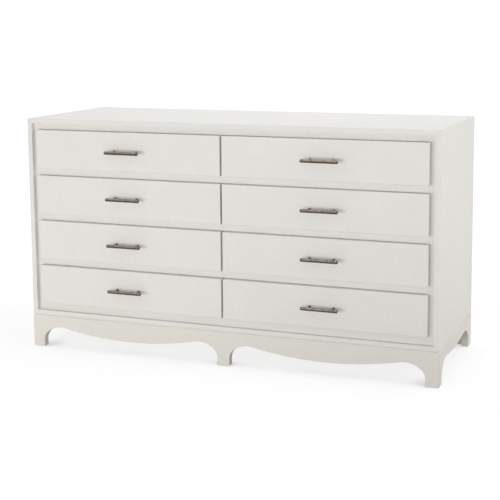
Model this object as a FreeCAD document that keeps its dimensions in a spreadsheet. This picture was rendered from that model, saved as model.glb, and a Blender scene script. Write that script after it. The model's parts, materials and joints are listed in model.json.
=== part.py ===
import FreeCAD, Part
import math
import os
import re
import Sketcher

# A wide eight-drawer dresser on a scalloped bracket base, in millimetres.
# +Z is up, the drawers face -Y, and the origin is under the middle of the whole piece.

# Driving sizes: each one is a cell of the sheet, and every solid is tied to these cells.
SIZES = {
    # Whole piece
    "width": 1505,
    "depth": 550,
    "height": 838,
    # Case boards
    "panel_thick": 18,
    "partition_thick": 18,
    "back_thick": 6,
    "back_inset": 8,
    "groove_size": 3.5,
    "arris": 1.2,
    # Face frame
    "frame_recess": 16,
    "frame_thick": 22,
    "stile_width": 28,
    # Drawer fronts
    "front_proud": 5,
    "front_clearance": 1,
    "front_ease": 1.6,
    "row_gap": 26,
    "column_gap": 6,
    "side_reveal": 20,
    "top_reveal": 22.5,
    "bottom_reveal": 30.5,
    "shadow_gap": 0.6,
    "rail_overlap": 6,
    # Drawer boxes
    "box_board": 12,
    "box_lift": 14,
    "box_drop": 12,
    "rear_clearance": 51,
    "bottom_thick": 5,
    "bottom_lift": 10,
    "bottom_let_in": 5,
    # Telescopic slides
    "slide_height": 45,
    "slide_thick": 13,
    "slide_setback": 4,
    "slide_end_gap": 15,
    "slide_gauge": 1.5,
    "slide_play": 0.3,
    "packer_height": 60,
    # Pulls
    "pull_length": 130,
    "pull_spacing": 84,
    "pull_section": 12,
    "pull_flat": 2,
    "pull_standoff": 33,
    "post_width": 8,
    # Bracket base
    "base_height": 119,
    "apron_thick": 25,
    "glide_height": 1.5,
    "glide_width": 16,
    "front_foot": 43,
    "middle_foot": 44,
    "side_foot": 50,
    "toe_height": 26,
    "cove_rise": 11,
    "crest_radius": 85,
    "crest_height": 77,
    "front_hang": 28.5,
    "side_hang": 9,
    "block_width": 16,
    "block_gap": 4,
    "cleat_section": 20,
    # How far a cut runs past what it cuts
    "overrun": 10,
}

ROW_COUNT = 4

# Places worked out from the driving sizes, as formulas of a second sheet.
PLACES = {
    "side_face": "width / 2",
    "inner_face": "side_face - panel_thick",
    "pull_reach": "front_proud + pull_standoff + pull_section / 2",
    "case_front": "(pull_reach - depth) / 2",
    "case_rear": "case_front + depth",
    "back_face": "case_rear - back_inset - back_thick",
    "frame_front": "case_front + frame_recess",
    "frame_back": "frame_front + frame_thick",
    "front_face": "case_front - front_proud",
    "front_back": "frame_front - front_clearance",
    "box_front": "front_back",
    "box_rear": "back_face - rear_clearance",
    "stile_edge": "inner_face - stile_width",
    "partition_face": "partition_thick / 2",
    "box_outer": "stile_edge - slide_thick",
    "box_inner": "partition_face + slide_thick",
    "floor_top": "base_height + panel_thick",
    "top_under": "height - panel_thick",
    "rows_height": "top_under - top_reveal - floor_top - bottom_reveal",
    "front_height": f"(rows_height - row_gap * {ROW_COUNT - 1}) / {ROW_COUNT}",
    "row_pitch": "front_height + row_gap",
    "box_height": "front_height - box_lift - box_drop",
    "front_outer": "inner_face - side_reveal",
    "front_inner": "column_gap / 2",
    "pull_middle": "(front_outer + front_inner) / 2",
    "pull_corner": "(pull_section - pull_flat) / 2",
    "slide_front": "frame_front + slide_setback",
    "slide_rear": "box_rear - slide_end_gap",
    "slide_half": "slide_height / 2",
    "glide_top": "glide_height",
    "apron_inside": "side_face - apron_thick",
    "cove_radius": "crest_height - cove_rise - toe_height",
}

COLUMNS = {"left": -1, "right": 1}

doc = FreeCAD.newDocument("dresser")


def make_sheet(name, cells, mark):
    """A sheet with one alias per cell; the mark leads the text of a formula."""
    sheet = doc.addObject("Spreadsheet::Sheet", name)
    for row, (alias, content) in enumerate(cells.items(), start=1):
        sheet.set(f"A{row}", alias)
        sheet.set(f"B{row}", mark + (tie(content) if mark else str(content)))
        sheet.setAlias(f"B{row}", alias)
    doc.recompute()
    return sheet


def tie(text):
    """Turn a formula of plain size names into one that names their sheet cells."""
    def cell(found):
        word = found.group(0)
        return f"Sizes.{word}" if word in SIZES else f"Places.{word}" if word in PLACES else word
    return re.sub(r"[a-z_]+", cell, text)


sizes = make_sheet("Sizes", SIZES, "")
places = make_sheet("Places", PLACES, "=")


def size(text):
    """The present value of a formula of size names."""
    return float(sizes.evalExpression(tie(text)))


def tie_place(thing, across, along, up):
    """Tie the corner or centre of an object to three formulas."""
    for axis, text in zip("xyz", (across, along, up)):
        thing.setExpression(f"Placement.Base.{axis}", tie(text))


def board(label, across, along, up):
    """A straight board between two formulas on each axis."""
    block = doc.addObject("Part::Box", label)
    block.Label = label
    for edge, (low, high) in zip(("Length", "Width", "Height"), (across, along, up)):
        block.setExpression(edge, tie(f"({high}) - ({low})"))
    tie_place(block, across[0], along[0], up[0])
    return block


def group(label, pieces):
    """Separate solids that share one node."""
    together = doc.addObject("Part::Compound", label)
    together.Label = label
    together.Links = pieces
    return together


def new_body(label):
    body = doc.addObject("PartDesign::Body", label)
    body.Label = label
    return body


def origin_plane(body, role):
    return next(plane for plane in body.Origin.OriginFeatures if plane.Role == role)


def new_sketch(body, name, role, offset="0"):
    """A sketch on one of the body's own planes, moved along the plane's normal."""
    sketch = body.newObject("Sketcher::SketchObject", f"{body.Name}_{name}")
    sketch.AttachmentSupport = [(origin_plane(body, role), "")]
    sketch.MapMode = "FlatFace"
    sketch.setExpression("AttachmentOffset.Base.z", tie(offset))
    return sketch


def constrain(sketch, kind, *targets, text):
    """A dimension of the sketch, tied to a formula."""
    index = sketch.addConstraint(Sketcher.Constraint(kind, *targets, size(text)))
    sketch.setExpression(f"Constraints[{index}]", tie(text))


def outline(sketch, corners):
    """A closed straight-sided outline; each corner is two formulas in the sketch's axes."""
    points = [FreeCAD.Vector(size(across), size(up), 0) for across, up in corners]
    first = sketch.GeometryCount
    for start, end in zip(points, points[1:] + points[:1]):
        sketch.addGeometry(Part.LineSegment(start, end))
    for step, (across, up) in enumerate(corners):
        line = first + step
        following = first + (step + 1) % len(corners)
        sketch.addConstraint(Sketcher.Constraint("Coincident", line, 2, following, 1))
        constrain(sketch, "DistanceX", -1, 1, line, 1, text=across)
        constrain(sketch, "DistanceY", -1, 1, line, 1, text=up)


def pad(body, sketch, length, reverse=False, both_ways=False):
    feature = body.newObject("PartDesign::Pad", f"{body.Name}_pad")
    feature.Profile = sketch
    feature.setExpression("Length", tie(length))
    feature.Reversed = reverse
    feature.SideType = "Symmetric" if both_ways else "One side"
    return feature


def pocket_through(body, sketch, name):
    """Cut the sketch right through the body, both ways from its plane."""
    feature = body.newObject("PartDesign::Pocket", f"{body.Name}_{name}")
    feature.Profile = sketch
    feature.Type = "ThroughAll"
    feature.SideType = "Symmetric"
    return feature


def edges_where(feature, test):
    """Names of the edges whose two ends both pass a test of their place."""
    doc.recompute()
    return [
        f"Edge{number}"
        for number, edge in enumerate(feature.Shape.Edges, start=1)
        if all(test(vertex.Point) for vertex in edge.Vertexes)
    ]


def edges_along_x(feature):
    doc.recompute()
    return [
        f"Edge{number}"
        for number, edge in enumerate(feature.Shape.Edges, start=1)
        if math.isclose(abs(edge.tangentAt(edge.FirstParameter).x), 1)
    ]


def dress(body, kind, base, edges, text):
    """A fillet or chamfer, tied to a formula, on some edges of the feature before it."""
    feature = body.newObject(f"PartDesign::{kind}", f"{body.Name}_{kind.lower()}")
    feature.Base = (base, edges)
    feature.setExpression("Radius" if kind == "Fillet" else "Size", tie(text))
    return feature


def at(value, text):
    return math.isclose(value, size(text), abs_tol=Part.Precision.confusion())


# Case


def top_panel():
    """The top board, mitred at both ends to the sides, its front and end arrises eased."""
    body = new_body("top_panel")
    sketch = new_sketch(body, "section", "XZ_Plane", "-case_front")
    outline(sketch, [
        ("-side_face + arris", "height"),
        ("side_face - arris", "height"),
        ("side_face - arris / 2", "height - arris / 2"),
        ("inner_face", "top_under"),
        ("-inner_face", "top_under"),
        ("-side_face + arris / 2", "height - arris / 2"),
    ])
    base = pad(body, sketch, "depth", reverse=True)
    front_arris = edges_where(
        base, lambda point: at(point.y, "case_front") and at(point.z, "height"),
    )
    dress(body, "Chamfer", base, front_arris, "arris")
    return body


def side_panel(column):
    """A side board: mitred at the top, eased in front, its lower edges cut for the groove."""
    sign = "" if COLUMNS[column] > 0 else "-"
    body = new_body(f"{column}_side_panel")
    sketch = new_sketch(body, "section", "XZ_Plane", "-case_front")
    outline(sketch, [
        (f"{sign}(side_face - arris / 2)", "height - arris / 2"),
        (f"{sign}side_face", "height - arris"),
        (f"{sign}side_face", "base_height + groove_size"),
        (f"{sign}(side_face - groove_size)", "base_height"),
        (f"{sign}inner_face", "base_height"),
        (f"{sign}inner_face", "top_under"),
    ])
    base = pad(body, sketch, "depth", reverse=True)
    lower_edge = edges_where(
        base, lambda point: at(point.y, "case_front") and at(point.z, "base_height"),
    )
    grooved = dress(body, "Chamfer", base, lower_edge, "groove_size")
    front_arris = edges_where(
        grooved, lambda point: at(point.y, "case_front") and at(point.x, f"{sign}side_face"),
    )
    dress(body, "Chamfer", grooved, front_arris, "arris")
    return body


def bottom_panel():
    """The bottom board between the sides; its front lower edge is cut for the groove."""
    body = new_body("bottom_panel")
    sketch = new_sketch(body, "section", "YZ_Plane")
    outline(sketch, [
        ("case_front", "floor_top"),
        ("case_front", "base_height + groove_size"),
        ("case_front + groove_size", "base_height"),
        ("case_rear", "base_height"),
        ("case_rear", "floor_top"),
    ])
    pad(body, sketch, "inner_face * 2", both_ways=True)
    return body


def case_boards():
    inside = ("floor_top", "top_under")
    pieces = [top_panel(), bottom_panel(), side_panel("left"), side_panel("right")]
    pieces.append(board(
        "back_panel", ("-inner_face", "inner_face"), ("back_face", "back_face + back_thick"), inside,
    ))
    pieces.append(board(
        "center_partition", ("-partition_face", "partition_face"), ("frame_back", "back_face"), inside,
    ))
    return pieces


def row_bottom(row):
    """Height of the lower edge of a row's drawer fronts, rows counted from the top."""
    return f"top_under - top_reveal - front_height - row_pitch * {row - 1}"


def face_frame():
    """Two stiles, and rails between them that run past the middle of the case."""
    thick = ("frame_front", "frame_back")
    span = ("-stile_edge", "stile_edge")
    inside = ("floor_top", "top_under")
    pieces = [
        board("left_stile", ("-inner_face", "-stile_edge"), thick, inside),
        board("right_stile", ("stile_edge", "inner_face"), thick, inside),
        board("top_rail", span, thick, ("top_under - top_reveal + shadow_gap", "top_under")),
        board("bottom_rail", span, thick, ("floor_top", f"{row_bottom(ROW_COUNT)} + rail_overlap")),
    ]
    dividers = [
        board(
            f"divider_{row}", span, thick,
            (f"{row_bottom(row)} - row_gap + shadow_gap", f"{row_bottom(row)} + rail_overlap"),
        )
        for row in range(1, ROW_COUNT)
    ]
    return pieces + [group("divider_rails", dividers)]


# Drawers and their slides


def slide_level(row):
    """Height of the middle of a row's slides."""
    return f"{row_bottom(row)} + box_lift + box_height / 2"


def channel(sketch, wall, inward, near, far, half, gauge_side, level):
    """
    A channel section of one slide member, in plan from the carrying wall inwards.

    The web stands at the near edge, or at the far edge where gauge_side says so, and two
    flanges run from it to the other edge.
    """
    web, lips = ("far", "near") if gauge_side == "far" else ("near", "far")
    reach = {"near": near, "far": far}
    step = "-" if web == "far" else "+"
    across = {
        "web": f"{wall} {inward} ({reach[web]})",
        "throat": f"{wall} {inward} ({reach[web]} {step} slide_gauge)",
        "lips": f"{wall} {inward} ({reach[lips]})",
    }
    tall = half
    bore = f"{half} - slide_gauge"
    outline(sketch, [
        (across["web"], f"{level} - ({tall})"),
        (across["lips"], f"{level} - ({tall})"),
        (across["lips"], f"{level} - ({bore})"),
        (across["throat"], f"{level} - ({bore})"),
        (across["throat"], f"{level} + ({bore})"),
        (across["lips"], f"{level} + ({bore})"),
        (across["lips"], f"{level} + ({tall})"),
        (across["web"], f"{level} + ({tall})"),
    ])


# Each member: near and far edges from the wall, half height, and which edge holds the web.
SLIDE_MEMBERS = {
    "case": ("0", "slide_thick - slide_gauge - slide_play", "slide_half", "near"),
    "middle": (
        "slide_gauge + slide_play", "slide_thick - slide_gauge - slide_play",
        "slide_half - slide_gauge - slide_play", "near",
    ),
    "drawer": (
        "(slide_gauge + slide_play) * 2", "slide_thick",
        "slide_half - (slide_gauge + slide_play) * 2", "far",
    ),
}


def slide_walls(column):
    """The two faces that carry a column's slides, each with the way towards the drawer."""
    if COLUMNS[column] < 0:
        return (("-stile_edge", "+"), ("-partition_face", "-"))
    return (("partition_face", "+"), ("stile_edge", "-"))


def slide_pair(label, member, column, row):
    """The left and right slide members of one drawer."""
    body = new_body(label)
    sketch = new_sketch(body, "section", "XZ_Plane", "-slide_front")
    near, far, half, gauge_side = SLIDE_MEMBERS[member]
    for wall, inward in slide_walls(column):
        channel(sketch, wall, inward, near, far, half, gauge_side, slide_level(row))
    pad(body, sketch, "slide_rear - slide_front", reverse=True)
    return body


def case_slides():
    """Packing strips behind the stiles, and the slide members fixed in the case."""
    packers = []
    members = []
    for column, sign in COLUMNS.items():
        across = ("-inner_face", "-stile_edge") if sign < 0 else ("stile_edge", "inner_face")
        for row in range(1, ROW_COUNT + 1):
            level = slide_level(row)
            packers.append(board(
                f"packer_{column}_{row}", across, ("frame_back", "back_face"),
                (f"{level} - packer_height / 2", f"{level} + packer_height / 2"),
            ))
            members.append(slide_pair(f"case_member_{column}_{row}", "case", column, row))
    return [group("slide_packers", packers), group("case_slide_members", members)]


def drawer_front(label, column, row):
    """The applied front: a slab with its four front edges eased."""
    sign = "" if COLUMNS[column] > 0 else "-"
    low = row_bottom(row)
    body = new_body(label)
    sketch = new_sketch(body, "face", "XZ_Plane", "-front_face")
    outline(sketch, [
        (f"{sign}front_inner", low),
        (f"{sign}front_outer", low),
        (f"{sign}front_outer", f"{low} + front_height"),
        (f"{sign}front_inner", f"{low} + front_height"),
    ])
    base = pad(body, sketch, "front_back - front_face", reverse=True)
    dress(body, "Fillet", base, edges_where(base, lambda point: at(point.y, "front_face")), "front_ease")
    return body


def grooved_board(label, role, start, length, inner, inward, up, floor):
    """
    A board of a drawer box with a groove along its inner face for the bottom.

    The section lies across the board, from its inner face outwards, and runs from start for
    the length. Up holds the formulas of the lower and upper edge, floor the groove's lower edge.
    """
    outer = f"{inner} {inward} box_board"
    sunk = f"{inner} {inward} bottom_let_in"
    body = new_body(label)
    sketch = new_sketch(body, "section", role, start)
    outline(sketch, [
        (inner, up[0]),
        (inner, floor),
        (sunk, floor),
        (sunk, f"{floor} + bottom_thick"),
        (inner, f"{floor} + bottom_thick"),
        (inner, up[1]),
        (outer, up[1]),
        (outer, up[0]),
    ])
    pad(body, sketch, length, reverse=role == "XZ_Plane")
    return body


def drawer_box(label, column, row):
    """Grooved sides and inner front, a bottom that slides in from behind, and a back above it."""
    low, high = ("-box_outer", "-box_inner") if COLUMNS[column] < 0 else ("box_inner", "box_outer")
    foot = f"{row_bottom(row)} + box_lift"
    tall = (foot, f"{foot} + box_height")
    between = (f"{low} + box_board", f"{high} - box_board")
    floor = f"{foot} + bottom_lift"
    run = "box_rear - box_front"
    sides = [
        grooved_board(f"{label}_side_{hand}", "XZ_Plane", "-box_front", run, inner, inward, tall, floor)
        for hand, inner, inward in (("a", between[0], "-"), ("b", between[1], "+"))
    ]
    inner_front = grooved_board(
        f"{label}_inner_front", "YZ_Plane", between[0], f"{between[1]} - ({between[0]})",
        "box_front + box_board", "-", tall, floor,
    )
    rear = board(
        f"{label}_rear", between, ("box_rear - box_board", "box_rear"),
        (f"{floor} + bottom_thick", tall[1]),
    )
    bottom = board(
        f"{label}_bottom",
        (f"{between[0]} - bottom_let_in", f"{between[1]} + bottom_let_in"),
        ("box_front + box_board - bottom_let_in", "box_rear"),
        (floor, f"{floor} + bottom_thick"),
    )
    return group(label, sides + [inner_front, rear, bottom])


def drawer_pull(label, column, row):
    """A cast bar, rounded along its length but for narrow flats, on two round posts."""
    middle = "pull_middle" if COLUMNS[column] > 0 else "-pull_middle"
    level = f"{row_bottom(row)} + front_height / 2"
    axis = "front_face - pull_standoff"
    half = "pull_section / 2"
    bar = new_body(f"{label}_bar")
    sketch = new_sketch(bar, "section", "YZ_Plane", middle)
    outline(sketch, [
        (f"{axis} - {half}", f"{level} - {half}"),
        (f"{axis} + {half}", f"{level} - {half}"),
        (f"{axis} + {half}", f"{level} + {half}"),
        (f"{axis} - {half}", f"{level} + {half}"),
    ])
    base = pad(bar, sketch, "pull_length", both_ways=True)
    dress(bar, "Fillet", base, edges_along_x(base), "pull_corner")
    posts = []
    for hand in ("-", "+"):
        post = doc.addObject("Part::Cylinder", f"{label}_post")
        post.setExpression("Radius", tie("post_width / 2"))
        post.setExpression("Height", tie(f"pull_standoff - {half}"))
        post.Placement.Rotation = FreeCAD.Rotation(FreeCAD.Vector(1, 0, 0), 90)
        tie_place(post, f"{middle} {hand} pull_spacing / 2", "front_face", level)
        posts.append(post)
    return group(label, [bar] + posts)


def drawer(column, row):
    name = f"row{row}_{column}"
    return [
        drawer_front(f"{name}_drawer_front", column, row),
        drawer_box(f"{name}_drawer_box", column, row),
        drawer_pull(f"{name}_drawer_pull", column, row),
        slide_pair(f"{name}_drawer_slides", "drawer", column, row),
        slide_pair(f"{name}_middle_slides", "middle", column, row),
    ]


# Bracket base


def ogee_arch(body, name, role, middle, half_span, drop):
    """
    Cut one arch of an apron: upright toes, coves, crests and a hanging drop between them.

    Toe to cove, cove to crest and crest to drop are tangent arcs. Sizes are worked out from
    the middle of the arch, on the sketch's own axes.
    """
    sketch = new_sketch(body, name, role)
    span = size(half_span)
    centre = size(middle)
    toe, cove, crest = size("toe_height"), size("cove_radius"), size("crest_radius")
    peak, dip = size("crest_height"), size(drop)
    turn = math.asin((crest - peak + toe) / (crest - cove))
    reach = span - cove - (crest - cove) * math.cos(turn)
    fall = dip - (peak - crest)
    sweep = (fall ** 2 + reach ** 2 - crest ** 2) / (2 * (crest - fall))
    lean = math.atan2(reach, dip + sweep - (peak - crest))
    floor = size("-overrun")
    right_angle = math.pi / 2

    def arc(across, up, radius, start, end):
        circle = Part.Circle(FreeCAD.Vector(centre + across, up, 0), FreeCAD.Vector(0, 0, 1), radius)
        return sketch.addGeometry(Part.ArcOfCircle(circle, start, end))

    def line(start, end):
        ends = [FreeCAD.Vector(centre + across, up, 0) for across, up in (start, end)]
        return sketch.addGeometry(Part.LineSegment(*ends))

    left_toe = line((-span, floor), (-span, toe))
    left_cove = arc(cove - span, toe, cove, math.pi - turn, math.pi)
    left_crest = arc(-reach, peak - crest, crest, right_angle - lean, math.pi - turn)
    hang = arc(0, dip + sweep, sweep, -right_angle - lean, lean - right_angle)
    right_crest = arc(reach, peak - crest, crest, turn, right_angle + lean)
    right_cove = arc(span - cove, toe, cove, 0, turn)
    right_toe = line((span, toe), (span, floor))
    under = line((span, floor), (-span, floor))
    low_point = sketch.addGeometry(Part.Point(FreeCAD.Vector(centre, dip, 0)), True)

    joins = [
        (left_toe, 2, left_cove, 2), (left_cove, 1, left_crest, 2), (left_crest, 1, hang, 1),
        (hang, 2, right_crest, 2), (right_crest, 1, right_cove, 2), (right_cove, 1, right_toe, 1),
    ]
    for join in joins:
        sketch.addConstraint(Sketcher.Constraint("Tangent", *join))
    sketch.addConstraint(Sketcher.Constraint("Coincident", right_toe, 2, under, 1))
    sketch.addConstraint(Sketcher.Constraint("Coincident", under, 2, left_toe, 1))
    for toe_line, side, top, foot in ((left_toe, "-", 2, 1), (right_toe, "+", 1, 2)):
        sketch.addConstraint(Sketcher.Constraint("Vertical", toe_line))
        constrain(sketch, "DistanceX", -1, 1, toe_line, top, text=f"{middle} {side} ({half_span})")
        constrain(sketch, "DistanceY", -1, 1, toe_line, top, text="toe_height")
        constrain(sketch, "DistanceY", -1, 1, toe_line, foot, text="-overrun")
    for cove_arc in (left_cove, right_cove):
        constrain(sketch, "Radius", cove_arc, text="cove_radius")
    for crest_arc in (left_crest, right_crest):
        constrain(sketch, "Radius", crest_arc, text="crest_radius")
        constrain(sketch, "DistanceY", -1, 1, crest_arc, 3, text="crest_height - crest_radius")
    constrain(sketch, "DistanceX", -1, 1, low_point, 1, text=middle)
    constrain(sketch, "DistanceY", -1, 1, low_point, 1, text=drop)
    sketch.addConstraint(Sketcher.Constraint("PointOnObject", low_point, 1, hang))
    return pocket_through(body, sketch, f"{name}_cut")


def plain_arch(body, name, low, high):
    """Cut one arch with straight sides and a level head, rounded to a cove at each end."""
    sketch = new_sketch(body, name, "XZ_Plane")
    cove = "crest_height - toe_height"
    left, right, toe, radius = size(low), size(high), size("toe_height"), size(cove)
    head = toe + radius
    floor = size("-overrun")
    up = FreeCAD.Vector(0, 0, 1)

    def line(*ends):
        return sketch.addGeometry(Part.LineSegment(*[FreeCAD.Vector(*end, 0) for end in ends]))

    def quarter(across, start):
        circle = Part.Circle(FreeCAD.Vector(across, toe, 0), up, radius)
        return sketch.addGeometry(Part.ArcOfCircle(circle, start, start + math.pi / 2))

    left_toe = line((left, floor), (left, toe))
    left_cove = quarter(left + radius, math.pi / 2)
    top = line((left + radius, head), (right - radius, head))
    right_cove = quarter(right - radius, 0)
    right_toe = line((right, toe), (right, floor))
    under = line((right, floor), (left, floor))
    joins = [
        (left_toe, 2, left_cove, 2), (left_cove, 1, top, 1), (top, 2, right_cove, 2),
        (right_cove, 1, right_toe, 1),
    ]
    for join in joins:
        sketch.addConstraint(Sketcher.Constraint("Tangent", *join))
    sketch.addConstraint(Sketcher.Constraint("Coincident", right_toe, 2, under, 1))
    sketch.addConstraint(Sketcher.Constraint("Coincident", under, 2, left_toe, 1))
    for toe_line, place, upper, foot in ((left_toe, low, 2, 1), (right_toe, high, 1, 2)):
        sketch.addConstraint(Sketcher.Constraint("Vertical", toe_line))
        constrain(sketch, "DistanceX", -1, 1, toe_line, upper, text=place)
        constrain(sketch, "DistanceY", -1, 1, toe_line, upper, text="toe_height")
        constrain(sketch, "DistanceY", -1, 1, toe_line, foot, text="-overrun")
    sketch.addConstraint(Sketcher.Constraint("Horizontal", top))
    constrain(sketch, "Radius", left_cove, text=cove)
    return pocket_through(body, sketch, f"{name}_cut")


def mirrored(body, features, role):
    """Repeat cuts on the other side of one of the body's own planes."""
    copy = body.newObject("PartDesign::Mirrored", f"{body.Name}_mirrored")
    copy.Originals = features
    copy.MirrorPlane = (origin_plane(body, role), [""])
    body.Tip = copy
    return copy


def apron_section(outer, inner, inward):
    """Section of an apron board, its outer top edge cut for the groove under the case."""
    return [
        (outer, "glide_top"),
        (outer, "base_height - groove_size"),
        (f"{outer} {inward} groove_size", "base_height"),
        (inner, "base_height"),
        (inner, "glide_top"),
    ]


def front_apron():
    """Two scalloped arches between three bracket feet, mitred to the side aprons."""
    body = new_body("front_apron")
    section = new_sketch(body, "section", "YZ_Plane")
    outline(section, apron_section("case_front", "case_front + apron_thick", "+"))
    pad(body, section, "width", both_ways=True)
    half_span = "(side_face - front_foot - middle_foot / 2) / 2"
    arch = ogee_arch(
        body, "arch", "XZ_Plane", f"middle_foot / 2 + {half_span}", half_span,
        "crest_height - front_hang",
    )
    mitre = new_sketch(body, "mitre", "XY_Plane")
    outline(mitre, [
        ("side_face", "case_front"),
        ("side_face", "case_front + apron_thick"),
        ("apron_inside", "case_front + apron_thick"),
    ])
    corner = pocket_through(body, mitre, "mitre_cut")
    mirrored(body, [arch, corner], "YZ_Plane")
    return body


def side_apron(column):
    """One wide arch between two bracket feet, mitred to the front apron."""
    sign = "" if COLUMNS[column] > 0 else "-"
    inward = "-" if COLUMNS[column] > 0 else "+"
    body = new_body(f"{column}_apron")
    section = new_sketch(body, "section", "XZ_Plane", "-case_front")
    outline(section, apron_section(f"{sign}side_face", f"{sign}apron_inside", inward))
    pad(body, section, "depth", reverse=True)
    ogee_arch(
        body, "arch", "YZ_Plane", "(case_front + case_rear) / 2", "depth / 2 - side_foot",
        "crest_height - side_hang",
    )
    mitre = new_sketch(body, "mitre", "XY_Plane")
    outline(mitre, [
        (f"{sign}side_face", "case_front"),
        (f"{sign}apron_inside", "case_front"),
        (f"{sign}apron_inside", "case_front + apron_thick"),
    ])
    pocket_through(body, mitre, "mitre_cut")
    return body


def rear_apron():
    """The plain back rail with its feet, between the side aprons."""
    body = new_body("rear_apron")
    section = new_sketch(body, "section", "YZ_Plane")
    outline(section, [
        ("case_rear - apron_thick", "glide_top"),
        ("case_rear", "glide_top"),
        ("case_rear", "base_height"),
        ("case_rear - apron_thick", "base_height"),
    ])
    pad(body, section, "apron_inside * 2", both_ways=True)
    arch = plain_arch(body, "arch", "middle_foot / 2", "side_face - front_foot")
    mirrored(body, [arch], "YZ_Plane")
    return body


def base_fittings():
    """Glue blocks behind the feet, cleats under the case, and a glide under each foot."""
    front_inside = "case_front + apron_thick"
    rear_inside = "case_rear - apron_thick"
    feet = {
        "left": ("-apron_inside", "-apron_inside + block_width"),
        "middle": ("-block_width / 2", "block_width / 2"),
        "right": ("apron_inside - block_width", "apron_inside"),
    }
    rows = {
        "front": (front_inside, f"{front_inside} + block_width"),
        "rear": (f"{rear_inside} - block_width", rear_inside),
    }
    under_case = "base_height - cleat_section"
    blocks = []
    glides = []
    for foot, across in feet.items():
        for row, along in rows.items():
            blocks.append(board(
                f"block_{row}_{foot}", across, along, ("glide_top + block_gap", under_case),
            ))
            seat = "case_front" if row == "front" else rear_inside
            middle = {
                "left": "-side_face + front_foot / 2",
                "middle": "0",
                "right": "side_face - front_foot / 2",
            }[foot]
            glide = doc.addObject("Part::Cylinder", f"glide_{row}_{foot}")
            glide.setExpression("Radius", tie("glide_width / 2"))
            glide.setExpression("Height", tie("glide_height"))
            tie_place(glide, middle, f"{seat} + apron_thick / 2", "0")
            glides.append(glide)
    level = (under_case, "base_height")
    cleats = [
        board("cleat_front", ("-apron_inside", "apron_inside"),
              (front_inside, f"{front_inside} + cleat_section"), level),
        board("cleat_rear", ("-apron_inside", "apron_inside"),
              (f"{rear_inside} - cleat_section", rear_inside), level),
    ]
    for column, sign in COLUMNS.items():
        across = ("apron_inside - cleat_section", "apron_inside")
        if sign < 0:
            across = ("-apron_inside", "-apron_inside + cleat_section")
        along = (f"{front_inside} + cleat_section", f"{rear_inside} - cleat_section")
        cleats.append(board(f"cleat_{column}", across, along, level))
    return [group("foot_blocks", blocks), group("floor_glides", glides), group("base_cleats", cleats)]


def build():
    pieces = case_boards() + face_frame() + case_slides()
    for column in COLUMNS:
        for row in range(1, ROW_COUNT + 1):
            pieces += drawer(column, row)
    pieces += [front_apron(), side_apron("left"), side_apron("right"), rear_apron()]
    return pieces + base_fittings()


def check(pieces):
    """Stop before anything is written if a feature failed or a solid is not sound."""
    doc.recompute()
    faulty = [thing.Name for thing in doc.Objects if {"Invalid", "Error"} & set(thing.State)]
    faulty += [
        piece.Label for piece in pieces
        if piece.Shape.isNull() or not piece.Shape.isValid() or not piece.Shape.Solids
    ]
    if faulty:
        raise RuntimeError("Failed: " + ", ".join(faulty))


nodes = build()
check(nodes)
os.makedirs("parts", exist_ok=True)
for node in nodes:
    node.Shape.exportStep(f"parts/{node.Label}.step")
print(len(nodes), "nodes,", sum(len(node.Shape.Solids) for node in nodes), "solids")
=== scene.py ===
import json
import math

import bmesh
import bpy
import numpy as np
from mathutils import Euler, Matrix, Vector


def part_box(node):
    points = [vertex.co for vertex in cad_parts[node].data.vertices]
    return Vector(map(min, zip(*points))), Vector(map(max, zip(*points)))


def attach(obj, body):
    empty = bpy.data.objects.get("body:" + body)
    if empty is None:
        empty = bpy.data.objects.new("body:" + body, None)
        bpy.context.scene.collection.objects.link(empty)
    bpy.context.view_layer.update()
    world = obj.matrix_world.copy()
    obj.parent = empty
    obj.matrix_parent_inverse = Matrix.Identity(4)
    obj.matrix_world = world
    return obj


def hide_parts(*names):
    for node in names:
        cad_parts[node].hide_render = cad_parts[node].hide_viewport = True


# A wide dresser in off-white lacquered linen with bronze bar pulls, in metres.
# The boards, drawers and slides come from the frame; this script gives them their finish
# and adds the hammered pulls, the small fasteners, the stop pads and the glue blocks.

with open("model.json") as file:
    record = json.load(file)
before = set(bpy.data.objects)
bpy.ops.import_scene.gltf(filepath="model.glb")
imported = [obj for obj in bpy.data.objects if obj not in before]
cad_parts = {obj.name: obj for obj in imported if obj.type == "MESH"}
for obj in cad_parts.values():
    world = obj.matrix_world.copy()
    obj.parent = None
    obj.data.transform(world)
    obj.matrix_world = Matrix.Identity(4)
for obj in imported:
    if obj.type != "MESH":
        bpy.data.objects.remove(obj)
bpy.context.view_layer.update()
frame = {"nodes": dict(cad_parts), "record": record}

ROWS = (1, 2, 3, 4)
COLUMNS = ("left", "right")
MM = 0.001


# Building blocks for node trees

# A Mix node repeats the names of its sockets, so its colours are found by their places
MIX_COLOURS = (6, 7)
MIX_RESULT = 2
BEVEL_SAMPLES = 4


def feed(tree, socket, value):
    """Link a socket into an input, or set the input to a plain value."""
    if isinstance(value, bpy.types.NodeSocket):
        tree.links.new(value, socket)
    else:
        socket.default_value = value


def place(tree, kind, inputs=None, **settings):
    """A shader node with its settings, and its inputs by name."""
    node = tree.nodes.new(f"ShaderNode{kind}")
    for name, value in settings.items():
        setattr(node, name, value)
    for name, value in (inputs or {}).items():
        feed(tree, node.inputs[name], value)
    return node


def calc(tree, operation, *values, clamp=False):
    """One step of arithmetic on values or sockets."""
    node = tree.nodes.new("ShaderNodeMath")
    node.operation = operation
    node.use_clamp = clamp
    for socket, value in zip(node.inputs, values):
        feed(tree, socket, value)
    return node.outputs[0]


def vector_of(tree, x, y, z):
    """A vector from three values or sockets."""
    return place(tree, "CombineXYZ", {"X": x, "Y": y, "Z": z}).outputs[0]


def noise(tree, vector, scale, detail=2.0, roughness=0.5):
    """A soft random field around one half."""
    return place(tree, "TexNoise", {
        "Vector": vector, "Scale": scale, "Detail": detail, "Roughness": roughness,
    }).outputs["Fac"]


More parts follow.
